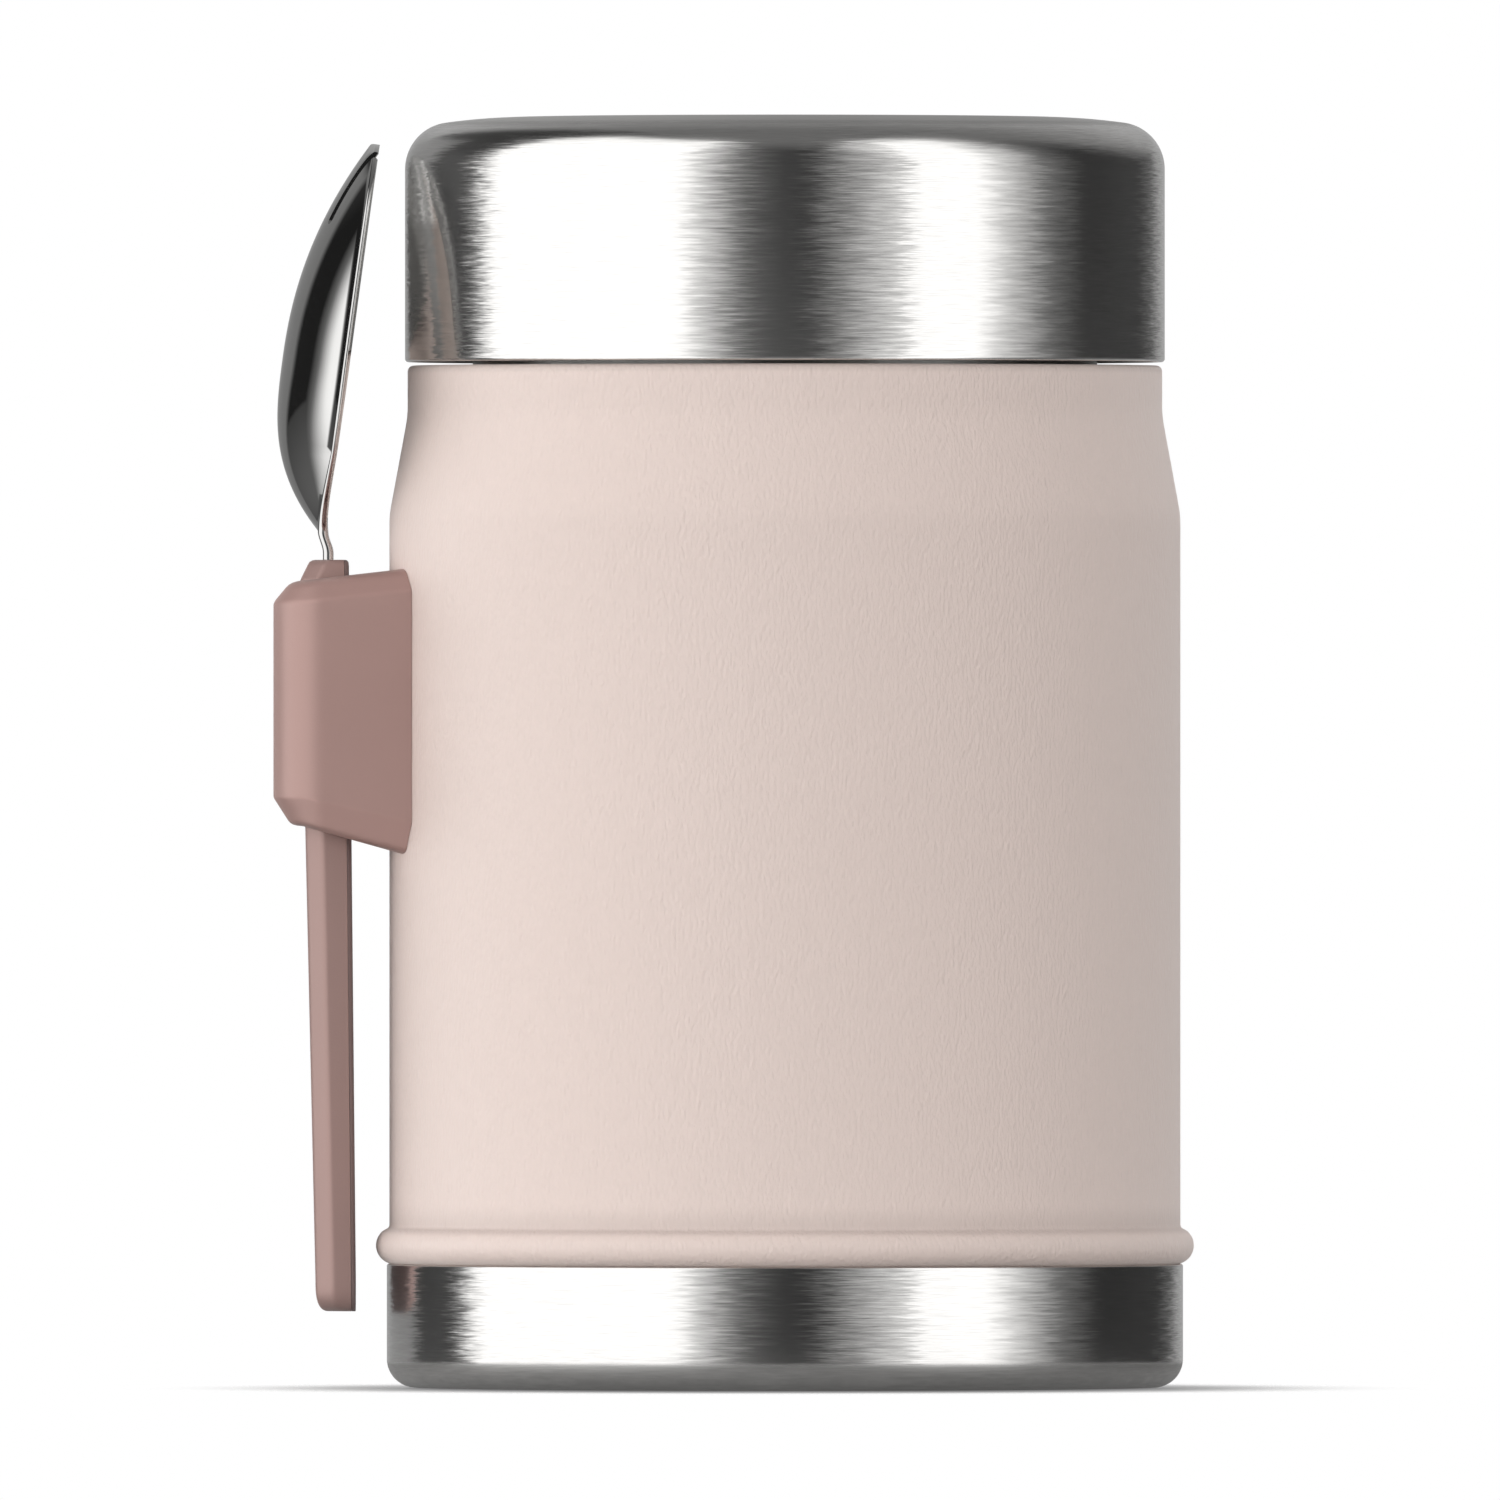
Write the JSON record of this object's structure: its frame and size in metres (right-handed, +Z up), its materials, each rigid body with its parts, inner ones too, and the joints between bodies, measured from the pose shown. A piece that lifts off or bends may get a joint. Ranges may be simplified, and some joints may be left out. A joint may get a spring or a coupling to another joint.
{
  "type": "insulated food jar",
  "caption": "Insulated steel food jar with a brushed screw lid, painted double wall, rolled bead and steel base cup, and a side holder that carries a spork with a moulded handle.",
  "frame": {"origin": "centre of the base cup's foot ring, on the plane that the jar stands on", "axes": "+Z up along the jar's axis; the spoon and its holder are on the -X side; +Y completes the right-handed frame"},
  "size_m": [0.1061, 0.0942, 0.1464],
  "materials": {
    "rose_coat": "matte",
    "brushed_steel": "satin",
    "inner_steel": "satin",
    "polished_steel": "polished",
    "heat_foil": "satin",
    "getter_metal": "matte",
    "rose_plastic": "matte",
    "dusk_plastic": "matte",
    "dusk_plastic_back": "matte",
    "liner_plastic": "satin",
    "silicone": "matte",
    "foam": "matte"
  },
  "bodies": {
    "jar": {"outer_shell": "rose_coat", "neck_ring": "inner_steel", "inner_vessel": "inner_steel", "vacuum_plate": "inner_steel", "heat_foil": "heat_foil", "getter": "getter_metal", "port_seal": "getter_metal", "base_cup": "brushed_steel", "holder_rail": "inner_steel", "spoon_holder": "rose_plastic"},
    "seal": {"lid_seal": "silicone"},
    "lid": {"lid_shell": "brushed_steel", "lid_liner": "liner_plastic", "lid_foam": "foam"},
    "spoon": {"spoon_blade": "polished_steel", "spoon_handle": "dusk_plastic", "handle_back": "dusk_plastic_back"}
  },
  "joints": [
    {"name": "lid_lift", "type": "slide", "parent": "jar", "child": "seal", "axis": [0, 0, 1], "range_m": [0, 0.036]},
    {"name": "lid_turn", "type": "hinge", "parent": "seal", "child": "lid", "pos_m": [0, 0, 0.1186], "axis": [0, 0, 1], "range_deg": [0, 1080]},
    {"name": "spoon_lift", "type": "slide", "parent": "jar", "child": "spoon", "axis": [0, 0, 1], "range_m": [0, 0.09]}
  ],
  "couplings": [
    {"joint": "lid_lift", "follows": "lid_turn", "m_per_rad": 0.0019099}
  ]
}
